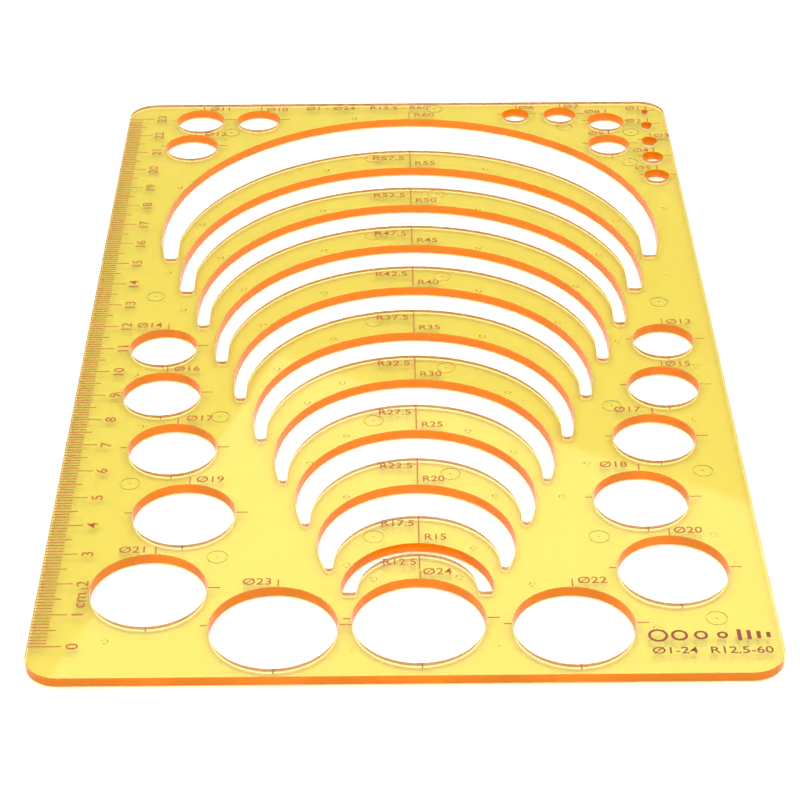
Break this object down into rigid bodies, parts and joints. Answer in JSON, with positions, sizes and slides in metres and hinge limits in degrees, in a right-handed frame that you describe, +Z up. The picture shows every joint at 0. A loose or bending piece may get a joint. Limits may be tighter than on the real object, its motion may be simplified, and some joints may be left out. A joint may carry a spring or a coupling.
{
  "type": "circle template",
  "caption": "Flat transparent drawing template with circular holes, nested crescent radius slots and a centimetre scale along one edge.",
  "frame": {"origin": "middle of the plate's footprint, on the surface that it lies on", "axes": "+Z up out of the printed plate's top face, +Y along the long side from the large circles to the small ones, +X across it with the scale edge at -X"},
  "size_m": [0.1474, 0.2486, 0.0024],
  "materials": {
    "clear_amber_plastic": "polished transparent yellow plastic, deep orange where it is seen through its edge",
    "brown_print": "thin brown print on the top face"
  },
  "bodies": {
    "root": {"band_label_print_1": "brown_print", "band_label_print_2": "brown_print", "band_label_print_3": "brown_print", "band_label_print_4": "brown_print", "band_label_print_5": "brown_print", "band_label_print_6": "brown_print", "band_label_print_7": "brown_print", "band_label_print_8": "brown_print", "band_label_print_9": "brown_print", "circle_label_print_1": "brown_print", "circle_label_print_10": "brown_print", "circle_label_print_11": "brown_print", "circle_label_print_12": "brown_print", "circle_label_print_13": "brown_print", "circle_label_print_14": "brown_print", "circle_label_print_15": "brown_print", "circle_label_print_16": "brown_print", "circle_label_print_17_left": "brown_print", "circle_label_print_17_right": "brown_print", "circle_label_print_18": "brown_print", "circle_label_print_19": "brown_print", "circle_label_print_2": "brown_print", "circle_label_print_20": "brown_print", "circle_label_print_21": "brown_print", "circle_label_print_22": "brown_print", "circle_label_print_23": "brown_print", "circle_label_print_24": "brown_print", "circle_label_print_3": "brown_print", "circle_label_print_4": "brown_print", "circle_label_print_5": "brown_print", "circle_label_print_6": "brown_print", "circle_label_print_7": "brown_print", "circle_label_print_8": "brown_print", "circle_label_print_9": "brown_print", "maker_panel_print": "brown_print", "radius_label_print_last": "brown_print", "radius_label_print_top": "brown_print", "scale_numeral_print": "brown_print", "scale_tick_print": "brown_print", "template_plate": "clear_amber_plastic", "title_print": "brown_print"}
  },
  "joints": []
}
